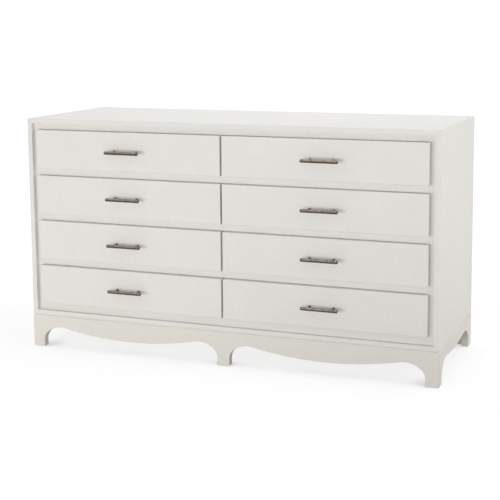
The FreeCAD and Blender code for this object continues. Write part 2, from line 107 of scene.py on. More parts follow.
def blend_colours(tree, amount, low, high):
    """A colour between two colours or sockets, by an amount from zero to one."""
    node = place(tree, "Mix", data_type="RGBA")
    feed(tree, node.inputs["Factor"], amount)
    for index, colour in zip(MIX_COLOURS, (low, high)):
        feed(tree, node.inputs[index], (*colour, 1.0) if isinstance(colour, tuple) else colour)
    return node.outputs[MIX_RESULT]


def remap(tree, value, low, high, to_low, to_high):
    """A value carried from one range to another, and held within that."""
    return place(tree, "MapRange", {
        "Value": value, "From Min": low, "From Max": high, "To Min": to_low, "To Max": to_high,
    }).outputs[0]


def new_group(name, inputs, outputs):
    """An empty shader group with named sockets, and its two end nodes."""
    group = bpy.data.node_groups.new(name, "ShaderNodeTree")
    for label, value in inputs.items():
        socket = group.interface.new_socket(label, in_out="INPUT", socket_type="NodeSocketFloat")
        socket.default_value = value
    for label in outputs:
        group.interface.new_socket(label, in_out="OUTPUT", socket_type="NodeSocketFloat")
    start = group.nodes.new("NodeGroupInput")
    end = group.nodes.new("NodeGroupOutput")
    return group, start, end


def use_group(tree, group, **inputs):
    """Place a group; a two-word input is written with an underscore."""
    node = tree.nodes.new("ShaderNodeGroup")
    node.node_tree = group
    for name, value in inputs.items():
        feed(tree, node.inputs[name.replace("_", " ")], value)
    return node.outputs


# Effects that several finishes share

DIAGONAL = math.sqrt(0.5)

# Widths and lengths of slubs in threads, and how far slubs, knots and weave count
FINE_SLUB = (2.2, 60.0)
BROAD_SLUB = (5.0, 130.0)
LEVEL_SLUB = (70.0, 2.6)
KNOT_SLUB = (3.0, 28.0)
KNOT_FROM, KNOT_FULL = 0.66, 0.76
UPRIGHT_SHARE = 0.62
SLUB_RISE, KNOT_RISE = 1.5, 0.5
SLUB_TONE, WEAVE_TONE = 2.0, 0.25

# How often pores and rings change in a metre along the grain and across it
PORE_STRETCH = (14.0, 900.0)
RING_STRETCH = (1.6, 7.0)

ARRIS_GAIN = 4.0
FINE_MARKS = 0.35
FINE_MARK_SCALE = 9.0


def face_grid_group():
    """
    Flat coordinates on the faces of straight boards.

    Across and Up are the two object coordinates that lie in the face, chosen by which way the
    face points, and Depth is the third.
    """
    group, _, end = new_group("board_face_grid", {}, ("Across", "Up", "Depth"))
    spot = place(group, "SeparateXYZ", {"Vector": place(group, "TexCoord").outputs["Object"]}).outputs
    normal = place(group, "NewGeometry").outputs["True Normal"]
    points = place(group, "SeparateXYZ", {"Vector": normal}).outputs
    side = calc(group, "GREATER_THAN", calc(group, "ABSOLUTE", points["X"]), DIAGONAL)
    level = calc(group, "GREATER_THAN", calc(group, "ABSOLUTE", points["Z"]), DIAGONAL)

    def choose(amount, low, high):
        """The first value where the amount is zero, the second where it is one."""
        return place(group, "Mix", {"Factor": amount, "A": low, "B": high}).outputs["Result"]

    feed(group, end.inputs["Across"], choose(side, spot["X"], spot["Y"]))
    feed(group, end.inputs["Up"], choose(level, spot["Z"], spot["Y"]))
    feed(group, end.inputs["Depth"], choose(side, choose(level, spot["Y"], spot["Z"]), spot["X"]))
    return group


def linen_group():
    """
    Plain-woven linen under lacquer, on a face's flat coordinates.

    Thread number i runs upwards and rises and dips as sin(pi v / p + pi i), thread j runs
    across and does the opposite, each with a round back |sin(pi u / p)|; the height is the
    higher of the two. Slubs are long soft streaks along the threads, which thicken them and
    shift their tone, and where a short streak is strongest it is a raised upright knot, painted
    darker as the shade that raking light casts beside it. Height and Tone run from zero to one.
    """
    group, start, end = new_group(
        "lacquered_linen_threads",
        {"Across": 0.0, "Up": 0.0, "Pitch": 1 * MM, "Slub": 0.5, "Knot": 0.5}, ("Height", "Tone"),
    )
    u = calc(group, "DIVIDE", start.outputs["Across"], start.outputs["Pitch"])
    v = calc(group, "DIVIDE", start.outputs["Up"], start.outputs["Pitch"])

    def thread(over, along, shift):
        """The height of the threads that lie side by side over one coordinate, along the other."""
        number = calc(group, "FLOOR", over)
        back = calc(group, "ABSOLUTE", calc(group, "SINE", calc(group, "MULTIPLY", over, math.pi)))
        step = calc(group, "ADD", calc(group, "ADD", along, number), shift)
        phase = calc(group, "MULTIPLY", step, math.pi)
        rise = calc(group, "MULTIPLY_ADD", calc(group, "SINE", phase), 0.5, 0.5)
        return calc(group, "MULTIPLY", back, rise)

    def slub(across_pitch, along_pitch, detail=3.0):
        """A noise drawn out along the threads."""
        streak = vector_of(
            group,
            calc(group, "MULTIPLY", u, 1 / across_pitch),
            calc(group, "MULTIPLY", v, 1 / along_pitch),
            0.0,
        )
        return noise(group, streak, 1.0, detail)

    weave = calc(group, "MAXIMUM", thread(u, v, 0.0), thread(v, u, 1.0))
    upright = calc(group, "MAXIMUM", slub(*FINE_SLUB), slub(*BROAD_SLUB))
    level = calc(group, "MULTIPLY", slub(*LEVEL_SLUB), 1 - UPRIGHT_SHARE)
    streaks = calc(group, "MULTIPLY_ADD", upright, UPRIGHT_SHARE, level)
    strong = calc(group, "MULTIPLY", calc(group, "SUBTRACT", streaks, 0.5), start.outputs["Slub"])
    thickest = slub(*KNOT_SLUB, detail=1.0)
    knot = remap(group, thickest, KNOT_FROM, KNOT_FULL, 0.0, start.outputs["Knot"])
    raised = calc(group, "MULTIPLY_ADD", strong, SLUB_RISE, weave)
    feed(group, end.inputs["Height"], calc(group, "MULTIPLY_ADD", knot, KNOT_RISE, raised))
    plain = calc(group, "MULTIPLY_ADD", calc(group, "SUBTRACT", weave, 0.5), WEAVE_TONE, 0.5)
    streaked = calc(group, "MULTIPLY_ADD", strong, SLUB_TONE, plain)
    # The knots are taken off the tone: painted shade for the shadow beside each raised knot
    feed(group, end.inputs["Tone"], calc(group, "SUBTRACT", streaked, knot, clamp=True))
    return group


def grain_group():
    """
    Wood grain along a board.

    Pores are a noise squeezed to fine lines along the grain. Figure is the rings of the log,
    sin(ring number), where the ring number grows across the board and wanders with a slow
    noise, so that it closes into cathedral shapes.
    """
    group, start, end = new_group(
        "board_grain", {"Along": 0.0, "Over": 0.0, "Depth": 0.0, "Rings": 90.0, "Wander": 5.0},
        ("Pores", "Figure"),
    )
    along, over, depth = (start.outputs[name] for name in ("Along", "Over", "Depth"))

    def stretched(lengthwise, crosswise):
        """The board's coordinates at their own scales along the grain and across it."""
        return vector_of(
            group,
            calc(group, "MULTIPLY", along, lengthwise),
            calc(group, "MULTIPLY", over, crosswise),
            calc(group, "MULTIPLY", depth, crosswise),
        )

    pores = noise(group, stretched(*PORE_STRETCH), 1.0, detail=4.0, roughness=0.6)
    drift = noise(group, stretched(*RING_STRETCH), 1.0, detail=2.0)
    ring = calc(
        group, "MULTIPLY_ADD", drift, start.outputs["Wander"],
        calc(group, "MULTIPLY", calc(group, "ADD", over, depth), start.outputs["Rings"]),
    )
    wave = calc(group, "SINE", calc(group, "MULTIPLY", ring, 2 * math.pi))
    feed(group, end.inputs["Pores"], pores)
    feed(group, end.inputs["Figure"], calc(group, "MULTIPLY_ADD", wave, 0.5, 0.5))
    return group


def soft_edge(tree, radius):
    """The normal of a board whose arrises are rounded."""
    return place(tree, "Bevel", {"Radius": radius}, samples=BEVEL_SAMPLES).outputs[0]


def arris_group():
    """How near an edge a point is: zero on a flat face, towards one in the edge's rounding."""
    group, start, end = new_group("arris_mask", {"Radius": 1.5 * MM}, ("Mask",))
    rounded = soft_edge(group, start.outputs["Radius"])
    flat = place(group, "NewGeometry").outputs["True Normal"]
    agree = place(group, "VectorMath", {0: rounded, 1: flat}, operation="DOT_PRODUCT").outputs["Value"]
    apart = calc(group, "SUBTRACT", 1.0, agree)
    feed(group, end.inputs["Mask"], calc(group, "MULTIPLY", apart, ARRIS_GAIN, clamp=True))
    return group


def dust_group():
    """Soft uneven handling marks: two sizes of cloud, added by their shares, around one half."""
    group, start, end = new_group("handling_marks", {"Size": 0.1}, ("Mask",))
    spot = place(group, "TexCoord").outputs["Object"]
    scale = calc(group, "DIVIDE", 1.0, start.outputs["Size"])
    broad = noise(group, spot, scale, detail=4.0)
    fine = noise(group, spot, calc(group, "MULTIPLY", scale, FINE_MARK_SCALE), detail=2.0)
    clouds = calc(group, "MULTIPLY", broad, 1 - FINE_MARKS)
    feed(group, end.inputs["Mask"], calc(group, "MULTIPLY_ADD", fine, FINE_MARKS, clouds))
    return group


FACE_GRID = face_grid_group()
LINEN = linen_group()
GRAIN = grain_group()
ARRIS = arris_group()
MARKS = dust_group()


# Finishes

# The range that holds most of a soft random field
CLOUD = (0.3, 0.7)

# Colours of the hollows and of the threads
CASE_COLOURS = ((0.758, 0.743, 0.716), (0.838, 0.826, 0.802))
# The rails' linen is paler than the case's: painted light against the shade in their recess
RAIL_PAINTED_LIGHT_COLOURS = ((0.784, 0.768, 0.738), (0.866, 0.853, 0.826))
BASE_COLOURS = ((0.739, 0.721, 0.672), (0.816, 0.8, 0.75))
LINEN_PITCH = 1.1 * MM
LINEN_SLUB, LINEN_KNOT = 0.55, 0.6
LINEN_MARKS = 0.5
LINEN_EDGE = 1.4 * MM
LINEN_RELIEF = 0.12 * MM
LINEN_RUB = 0.55
LINEN_RUBBED = (0.87, 0.86, 0.83)

DRAWER_RINGS = ((0.56, 0.41, 0.26), (0.66, 0.51, 0.35))
DRAWER_PORE = (0.44, 0.3, 0.18)
PORE_FROM, PORE_FULL, PORE_SHARE = 0.52, 0.75, 0.55
DRAWER_RUB = 0.4
DRAWER_RUBBED = (0.7, 0.57, 0.41)
DRAWER_EDGE = 1.2 * MM
DRAWER_RELIEF = 0.15 * MM

CORE_RINGS = ((0.47, 0.31, 0.17), (0.62, 0.46, 0.29))
CORE_DRY = (0.52, 0.42, 0.31)
DRY_FROM, DRY_FULL, DRY_SHARE = 0.35, 0.65, 0.3
CORE_RELIEF = 0.25 * MM
BACK_PAINT = ((0.66, 0.64, 0.59), (0.78, 0.765, 0.72))
BACK_FIGURE = 0.35
BACK_RELIEF = 0.1 * MM
ROUGH_EDGE = 1.0 * MM

ZINC = ((0.5, 0.51, 0.52), (0.68, 0.68, 0.66))
BRUSHED_ACROSS, BRUSHED_ALONG = 2400.0, 16.0
ROLLED_EDGE = 0.5 * MM
ZINC_RELIEF = 0.03 * MM

# Dark patina and bright metal; the bar's lower side takes the dark one as painted shade and its upper
# side the bright one as a painted highlight
BRONZE = ((0.085, 0.066, 0.049), (0.32, 0.28, 0.245))
BLOTCH_SCALE, PIT_SCALE = 260.0, 1500.0
BLOTCH_WEAR, PIT_SHARE = 0.9, 0.4
BRONZE_RELIEF = 0.12 * MM

NYLON = ((0.03, 0.028, 0.026), (0.075, 0.07, 0.065))
NYLON_SCALE = 2200.0
NYLON_RELIEF = 0.05 * MM
MOULDED_EDGE = 0.6 * MM
GUM = ((0.55, 0.53, 0.48), (0.68, 0.66, 0.61))


def new_finish(name):
    """A material with an empty tree and its output."""
    material = bpy.data.materials.new(name)
    material.use_nodes = True
    tree = material.node_tree
    tree.nodes.clear()
    return material, tree, tree.nodes.new("ShaderNodeOutputMaterial")


def bump(tree, height, distance, strength, normal=None):
    """The normal of a relief of this height, on top of another normal if there is one."""
    node = place(tree, "Bump", {"Height": height, "Distance": distance, "Strength": strength})
    if normal is not None:
        feed(tree, node.inputs["Normal"], normal)
    return node.outputs[0]


def finish_surface(tree, output, **inputs):
    """Close a tree with one Principled shader; a two-word input is written with an underscore."""
    shader = tree.nodes.new("ShaderNodeBsdfPrincipled")
    for name, value in inputs.items():
        feed(tree, shader.inputs[name.replace("_", " ")], value)
    tree.links.new(shader.outputs[0], output.inputs["Surface"])


def lacquered_linen(name, hollow, thread):
    """Off-white linen wrapped over board and lacquered: threads, slubs and paler rubbed edges."""
    material, tree, output = new_finish(name)
    grid = use_group(tree, FACE_GRID)
    cloth = use_group(
        tree, LINEN, Across=grid["Across"], Up=grid["Up"],
        Pitch=LINEN_PITCH, Slub=LINEN_SLUB, Knot=LINEN_KNOT,
    )
    marks = use_group(tree, MARKS, Size=0.16)["Mask"]
    edge = use_group(tree, ARRIS, Radius=LINEN_EDGE)["Mask"]
    uneven = calc(tree, "SUBTRACT", marks, 0.5)
    tone = calc(tree, "MULTIPLY_ADD", uneven, LINEN_MARKS, cloth["Tone"], clamp=True)
    woven = blend_colours(tree, tone, hollow, thread)
    colour = blend_colours(tree, calc(tree, "MULTIPLY", edge, LINEN_RUB), woven, LINEN_RUBBED)
    finish_surface(
        tree, output,
        Base_Color=colour,
        Roughness=remap(tree, tone, 0.0, 1.0, 0.62, 0.5),
        Specular_IOR_Level=0.32,
        Coat_Weight=0.05,
        Coat_Roughness=0.35,
        Normal=bump(tree, cloth["Height"], LINEN_RELIEF, 0.35, soft_edge(tree, LINEN_EDGE)),
    )
    return material


def drawer_wood():
    """Pale hardwood drawer boards under clear matt lacquer, their grain along each board."""
    material, tree, output = new_finish("drawer_wood_finish")
    grid = use_group(tree, FACE_GRID)
    grain = use_group(
        tree, GRAIN, Along=grid["Across"], Over=grid["Up"], Depth=grid["Depth"], Rings=9.0, Wander=7.0,
    )
    marks = use_group(tree, MARKS, Size=0.22)["Mask"]
    edge = use_group(tree, ARRIS, Radius=DRAWER_EDGE)["Mask"]
    figure = blend_colours(tree, grain["Figure"], *DRAWER_RINGS)
    pores = remap(tree, grain["Pores"], PORE_FROM, PORE_FULL, 0.0, PORE_SHARE)
    pored = blend_colours(tree, pores, figure, DRAWER_PORE)
    worn = blend_colours(tree, calc(tree, "MULTIPLY", edge, DRAWER_RUB), pored, DRAWER_RUBBED)
    finish_surface(
        tree, output,
        Base_Color=worn,
        Roughness=remap(tree, marks, *CLOUD, 0.42, 0.58),
        Specular_IOR_Level=0.4,
        Normal=bump(tree, grain["Pores"], DRAWER_RELIEF, 0.3, soft_edge(tree, DRAWER_EDGE)),
    )
    return material


def core_wood():
    """Bare planed softwood of the hidden boards: strong rings, saw marks and a dry surface."""
    material, tree, output = new_finish("core_wood_finish")
    grid = use_group(tree, FACE_GRID)
    grain = use_group(
        tree, GRAIN, Along=grid["Across"], Over=grid["Up"], Depth=grid["Depth"], Rings=60.0, Wander=6.0,
    )
    marks = use_group(tree, MARKS, Size=0.12)["Mask"]
    rings = blend_colours(tree, grain["Figure"], *CORE_RINGS)
    dust = remap(tree, marks, DRY_FROM, DRY_FULL, 0.0, DRY_SHARE)
    dry = blend_colours(tree, dust, rings, CORE_DRY)
    finish_surface(
        tree, output,
        Base_Color=dry,
        Roughness=remap(tree, grain["Pores"], *CLOUD, 0.68, 0.85),
        Specular_IOR_Level=0.25,
        Normal=bump(tree, grain["Pores"], CORE_RELIEF, 0.4, soft_edge(tree, ROUGH_EDGE)),
    )
    return material


def back_board():
    """Thin plywood rolled with off-white paint: faint grain telegraphs through."""
    material, tree, output = new_finish("back_board_finish")
    grid = use_group(tree, FACE_GRID)
    grain = use_group(
        tree, GRAIN, Along=grid["Up"], Over=grid["Across"], Depth=grid["Depth"], Rings=16.0, Wander=4.0,
    )
    marks = use_group(tree, MARKS, Size=0.3)["Mask"]
    rolled = calc(tree, "MULTIPLY", marks, 1 - BACK_FIGURE)
    thin = calc(tree, "MULTIPLY_ADD", grain["Figure"], BACK_FIGURE, rolled)
    finish_surface(
        tree, output,
        Base_Color=blend_colours(tree, thin, *BACK_PAINT),
        Roughness=remap(tree, marks, *CLOUD, 0.55, 0.7),
        Specular_IOR_Level=0.35,
        Normal=bump(tree, grain["Pores"], BACK_RELIEF, 0.25, soft_edge(tree, ROUGH_EDGE)),
    )
    return material


def slide_steel():
    """Zinc-plated rolled steel, brushed along its length, with a cloudy passivated tint."""
    material, tree, output = new_finish("slide_steel_finish")
    spot = place(tree, "SeparateXYZ", {"Vector": place(tree, "TexCoord").outputs["Object"]}).outputs
    lines = vector_of(
        tree,
        calc(tree, "MULTIPLY", spot["X"], BRUSHED_ACROSS),
        calc(tree, "MULTIPLY", spot["Y"], BRUSHED_ALONG),
        calc(tree, "MULTIPLY", spot["Z"], BRUSHED_ACROSS),
    )
    brushed = noise(tree, lines, 1.0, detail=3.0)
    marks = use_group(tree, MARKS, Size=0.05)["Mask"]
    finish_surface(
        tree, output,
        Base_Color=blend_colours(tree, marks, *ZINC),
        Metallic=1.0,
        Roughness=remap(tree, brushed, *CLOUD, 0.28, 0.46),
        Normal=bump(tree, brushed, ZINC_RELIEF, 0.3, soft_edge(tree, ROLLED_EDGE)),
    )
    return material


def aged_bronze():
    """Hammered bronze: dark patina in the hollows, rubbed brown metal on the high spots, and lighter
    metal on the upper side of the bar as a painted highlight, darker on the lower side as painted
    shade.
    """
    material, tree, output = new_finish("aged_bronze_finish")
    # This attribute holds the wear of the blows and ends and a painted highlight on the bar's upper
    # side
    rub_and_painted_sheen = place(tree, "Attribute", attribute_name="rub_and_painted_sheen").outputs["Fac"]
    spot = place(tree, "TexCoord").outputs["Object"]
    blotch = noise(tree, spot, BLOTCH_SCALE, detail=4.0, roughness=0.6)
    pits = noise(tree, spot, PIT_SCALE, detail=2.0)
    uneven = calc(tree, "SUBTRACT", blotch, 0.5)
    # worn carries the blotches, the wear, and the painted highlight and painted shade of the bar's
    # upper and lower sides
    worn = calc(tree, "MULTIPLY_ADD", uneven, BLOTCH_WEAR, rub_and_painted_sheen, clamp=True)
    skin = calc(tree, "MULTIPLY_ADD", pits, PIT_SHARE, blotch)
    finish_surface(
        tree, output,
        Base_Color=blend_colours(tree, worn, *BRONZE),
        Metallic=0.85,
        Roughness=remap(tree, worn, 0.0, 1.0, 0.58, 0.36),
        Specular_IOR_Level=0.5,
        Normal=bump(tree, skin, BRONZE_RELIEF, 0.35),
    )
    return material


def glide_plastic():
    """Moulded nylon with a fine spark-eroded grain, scuffed underneath."""
    material, tree, output = new_finish("glide_plastic_finish")
    grain = noise(tree, place(tree, "TexCoord").outputs["Object"], NYLON_SCALE, detail=2.0)
    marks = use_group(tree, MARKS, Size=0.012)["Mask"]
    finish_surface(
        tree, output,
        Base_Color=blend_colours(tree, marks, *NYLON),
        Roughness=remap(tree, marks, *CLOUD, 0.45, 0.65),
        Normal=bump(tree, grain, NYLON_RELIEF, 0.4, soft_edge(tree, MOULDED_EDGE)),
    )
    return material


def bumper_gum():
    """Soft cloudy clear gum of the stop pads, drawn as a dense translucent plastic."""
    material, tree, output = new_finish("bumper_gum_finish")
    marks = use_group(tree, MARKS, Size=0.008)["Mask"]
    finish_surface(
        tree, output,
        Base_Color=blend_colours(tree, marks, *GUM),
        Roughness=remap(tree, marks, *CLOUD, 0.3, 0.42),
        Subsurface_Weight=0.3,
        Subsurface_Scale=1 * MM,
    )
    return material


FINISHES = {
    "lacquered_linen": lacquered_linen("lacquered_linen_finish", *CASE_COLOURS),
    "drawer_wood": drawer_wood(),
    "core_wood": core_wood(),
    "back_board": back_board(),
    "slide_steel": slide_steel(),
    "aged_bronze": aged_bronze(),
    "glide_plastic": glide_plastic(),
}
RAIL_PAINTED_LIGHT_LINEN = lacquered_linen("rail_painted_light_linen_finish", *RAIL_PAINTED_LIGHT_COLOURS)
BASE_LINEN = lacquered_linen("base_linen_finish", *BASE_COLOURS)
BASE_BOARDS = ("front_apron", "left_apron", "right_apron", "rear_apron", "foot_blocks")
BUMPER_GUM = bumper_gum()


def dress_boards():
    """
    Give every node of the frame the finish of its slot. The base has a darker, warmer linen, and the
    rails between the drawers have a paler one, painted light that offsets the shade of their recess.
    """
    for subpart in frame["record"]["subparts"]:
        finish = FINISHES[subpart["material_slot"]]
        if subpart["node"] in BASE_BOARDS:
            finish = BASE_LINEN
        # Painted light: the recessed rails get a paler linen so that their recess looks less shaded
        if subpart["node"] == "divider_rails":
            finish = RAIL_PAINTED_LIGHT_LINEN
        for slot in frame["nodes"][subpart["node"]].material_slots:
            slot.material = finish


# Surfaces

WELD = 0.001 * MM


def grid_faces(rings, around):
    """Quads between neighbouring rings of a grid that closes on itself the way round."""
    ring, step = np.meshgrid(np.arange(rings - 1), np.arange(around), indexing="ij")
    following = (step + 1) % around
    corners = (ring * around + step, ring * around + following,
               (ring + 1) * around + following, (ring + 1) * around + step)
    return np.stack(corners, axis=-1).reshape(-1, 4)


def turned(radii, heights, around):
    """A profile of radii and heights turned about the z axis; its ends close on the axis."""
    angle = np.arange(around) * 2 * np.pi / around
    radii, heights = np.asarray(radii)[:, None], np.asarray(heights)[:, None]
    spots = np.stack(
        (radii * np.cos(angle), radii * np.sin(angle), heights + 0 * angle), axis=-1,
    )
    return spots.reshape(-1, 3), grid_faces(len(radii), around)


def upright_prism(outline, low, high):
    """An outline of (x, y) corners, anticlockwise, carried up z; each end closes on its middle."""
    outline = np.asarray(outline)
    middle = np.broadcast_to(outline.mean(axis=0), outline.shape)
    rings = [(middle, low), (outline, low), (outline, high), (middle, high)]
    spots = [np.column_stack((ring, np.full(len(ring), level))) for ring, level in rings]
    return np.concatenate(spots), grid_faces(len(rings), len(outline))


def join(shapes):
    """Several (spots, faces) shapes as one."""
    counts = np.cumsum([0] + [len(spots) for spots, _ in shapes])
    spots = np.concatenate([shape[0] for shape in shapes])
    faces = np.concatenate([shape[1] + start for shape, start in zip(shapes, counts)])
    return spots, faces


def weld_poles(mesh):
    """Merge the points of a ring that has shrunk to one spot, so that no flat face is left there."""
    shell = bmesh.new()
    shell.from_mesh(mesh)
    bmesh.ops.remove_doubles(shell, verts=shell.verts, dist=WELD)
    shell.to_mesh(mesh)
    shell.free()


def new_piece(name, shape, material, body, rub_and_painted_sheen=None, smooth=True):
    """A closed mesh piece at its place in the frame, riding on a body."""
    spots, faces = shape
    mesh = bpy.data.meshes.new(name)
    mesh.from_pydata(spots.tolist(), [], faces.tolist())
    if rub_and_painted_sheen is not None:
        layer = mesh.attributes.new("rub_and_painted_sheen", "FLOAT", "POINT")
        layer.data.foreach_set("value", rub_and_painted_sheen.astype(np.float32))
    weld_poles(mesh)
    mesh.polygons.foreach_set("use_smooth", np.full(len(mesh.polygons), smooth))
    mesh.materials.append(material)
    piece = bpy.data.objects.new(name, mesh)
    bpy.context.scene.collection.objects.link(piece)
    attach(piece, body)
    return piece


# Hammered pulls

POST_SPACING = 84 * MM
POST_RADIUS = 3.9 * MM
POST_FLARE = 1.1 * MM
POST_RINGS = 14
POST_AROUND = 24
POST_RUB = 0.15
BAR_END = 4.6 * MM
CAP_RINGS = 7
BAR_STEP = 1.0 * MM
BAR_AROUND = 44
BAR_SQUARENESS = 2.25
BLOWS = 95
BLOW_REACH = (2.6 * MM, 5.2 * MM)
BLOW_DEPTH = (0.12 * MM, 0.42 * MM)
# Heights on the section where the painted highlight on the upper side begins and where it is full
PAINTED_SHEEN_FROM, PAINTED_SHEEN_FULL = 0.0, 0.5
RUB_TIP = 4.0 * MM
RUB_IN_BLOW = 0.1


def hammered_bar(length, thick, seed):
    """
    A forged bar along x, its middle at the origin, and each point's rub and painted sheen.

    The section is the superellipse |y|^n + |z|^n = (thick / 2)^n. Towards each end it shrinks
    as a quarter circle of the end radius. Each hammer blow at (x, angle) sinks the skin by
    depth (1 - (d / reach)^2) at the distance d from it, and the deepest blow counts. The rub rises
    smoothly with the height on the section, which paints a highlight on the upper side and painted
    shade on the lower side, and falls in a blow and towards the ends.
    """
    rng = np.random.default_rng(seed)
    quarter = np.linspace(0, np.pi / 2, CAP_RINGS)
    cap_along = -length / 2 + BAR_END * (1 - np.sin(quarter))[::-1]
    cap_scale = 1 - BAR_END / (thick / 2) * (1 - np.cos(quarter))[::-1]
    inner_along = np.arange(-length / 2 + BAR_END, length / 2 - BAR_END, BAR_STEP)[1:]
    along = np.concatenate((cap_along[:1], cap_along, inner_along, -cap_along[::-1], -cap_along[:1]))
    scale = np.concatenate(([0.0], cap_scale, np.ones_like(inner_along), cap_scale[::-1], [0.0]))
    angle = np.arange(BAR_AROUND) * 2 * np.pi / BAR_AROUND
    power = BAR_SQUARENESS
    section = np.abs(np.cos(angle)) ** power + np.abs(np.sin(angle)) ** power
    radius = thick / 2 * section ** (-1 / power)

    blow_along = rng.uniform(-length / 2, length / 2, BLOWS)
    blow_angle = rng.uniform(0, 2 * np.pi, BLOWS)
    reach = rng.uniform(*BLOW_REACH, BLOWS)
    depth = rng.uniform(*BLOW_DEPTH, BLOWS)
    away = along[:, None, None] - blow_along
    turn = (angle[None, :, None] - blow_angle + np.pi) % (2 * np.pi) - np.pi
    distance = (away ** 2 + (thick / 2 * turn) ** 2) / reach ** 2
    sunk = np.max(depth * np.clip(1 - distance, 0, 1), axis=-1)

    skin = radius * scale[:, None] - sunk * scale[:, None]
    spots = np.stack(
        (along[:, None] + 0 * skin, skin * np.cos(angle), skin * np.sin(angle)), axis=-1,
    )
    # Painted highlight: the upper side of the section is lighter, and the lower side darker as painted
    # shade
    upper_painted_sheen = np.clip((np.sin(angle) - PAINTED_SHEEN_FROM) / (PAINTED_SHEEN_FULL - PAINTED_SHEEN_FROM), 0, 1)
    tip = np.clip((length / 2 - np.abs(along)) / RUB_TIP, 0, 1)[:, None]
    spared = 1 - (1 - RUB_IN_BLOW) * sunk / BLOW_DEPTH[1]
    rub_and_painted_sheen = spared * tip * upper_painted_sheen ** 2 * (3 - 2 * upper_painted_sheen)
    return (spots.reshape(-1, 3), grid_faces(len(along), BAR_AROUND)), rub_and_painted_sheen.ravel()


def pull_post(height):
    """
    A round post along z from its foot, and its rub, which is low all over.

    Its radius is the neck's plus a flare that falls off as the fourth power of the distance
    from the nearer end.
    """
    rise = np.linspace(0, height, POST_RINGS)
    middle = np.abs(2 * rise / height - 1)
    radii = POST_RADIUS - POST_FLARE / 2 + POST_FLARE * middle ** 4
    shape = turned(np.r_[0, radii, 0], np.r_[0, rise, height], POST_AROUND)
    return shape, np.full(len(shape[0]), POST_RUB)


def make_pull(row, column):
    """One pull: a hammered bar on two posts, where the frame's plain pull is."""
    name = f"row{row}_{column}_drawer_pull"
    low, high = (np.array(corner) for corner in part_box(name))
    thick = high[2] - low[2]
    middle = (low + high) / 2
    bar_depth = low[1] + thick / 2
    seed = 10 * row + COLUMNS.index(column)
    (bar_spots, bar_faces), bar_rub_and_painted_sheen = hammered_bar(high[0] - low[0], thick, seed)
    (post_spots, post_faces), post_rub = pull_post(high[1] - bar_depth)
    upright = np.stack((post_spots[:, 0], -post_spots[:, 2], post_spots[:, 1]), axis=-1)
    shapes = [(bar_spots + (middle[0], bar_depth, middle[2]), bar_faces)]
    for hand in (-1, 1):
        foot = (middle[0] + hand * POST_SPACING / 2, high[1], middle[2])
        shapes.append((upright + foot, post_faces))
    piece = new_piece(
        f"row{row}_{column}_hammered_pull", join(shapes), FINISHES["aged_bronze"],
        f"row{row}_{column}_drawer", np.concatenate((bar_rub_and_painted_sheen, post_rub, post_rub)),
    )
    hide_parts(name)


# Small fasteners

SCREW_RADIUS = 3.6 * MM
SCREW_DOME = 1.9 * MM
WASHER_RADIUS = 6.5 * MM
WASHER_THICK = 0.9 * MM
SCREW_AROUND = 16
SCREW_BENDS = 6

# Shares of the head's radius and height down its recess, and of the washer's round its edge
RECESS_RADII, RECESS_HEIGHTS = (0.3, 0.22, 0), (1, 0.45, 0.4)
WASHER_RADII, WASHER_HEIGHTS = (0, 1, 1, 0.94, 0), (0, 0, 0.8, 1, 1)
HEAD_SEAT = 0.8

BUMPER_RADIUS = 4.5 * MM
BUMPER_THICK = 0.8 * MM
BUMPER_TOP = 0.85
BUMPER_BENDS = 5
BOX_BOARD = 12 * MM
PAD_INSET = 9 * MM
SLIDE_GAUGE = 1.5 * MM
SLIDE_SCREWS = (37 * MM, 165 * MM, 293 * MM)
BACK_SCREWS = (0.06, 0.28, 0.5, 0.72, 0.94)


def pan_head():
    """A domed screw head, a quarter ellipse turned about z, with a recess; it stands on z = 0."""
    bend = np.linspace(0, np.pi / 2, SCREW_BENDS)[:-1]
    radii = np.r_[0, np.cos(bend), RECESS_RADII]
    heights = np.r_[0, np.sin(bend), RECESS_HEIGHTS]
    return turned(SCREW_RADIUS * radii, SCREW_DOME * heights, SCREW_AROUND)


def washer_head():
    """A domed screw head let a little into its washer, which stands on z = 0."""
    washer = turned(
        WASHER_RADIUS * np.array(WASHER_RADII), WASHER_THICK * np.array(WASHER_HEIGHTS),
        SCREW_AROUND,
    )
    spots, faces = pan_head()
    return join([washer, (spots + (0, 0, HEAD_SEAT * WASHER_THICK), faces)])


def facing(shape, spot, way):
    """A shape that stands on z = 0 turned to face +y, -y, +x or -x and put at a spot."""
    spots, faces = shape
    x, y, z = spots.T
    turn = {"+y": (x, z, -y), "-y": (x, -z, y), "+x": (z, y, -x), "-x": (-z, y, x)}[way]
    return np.stack(turn, axis=-1) + np.asarray(spot), faces


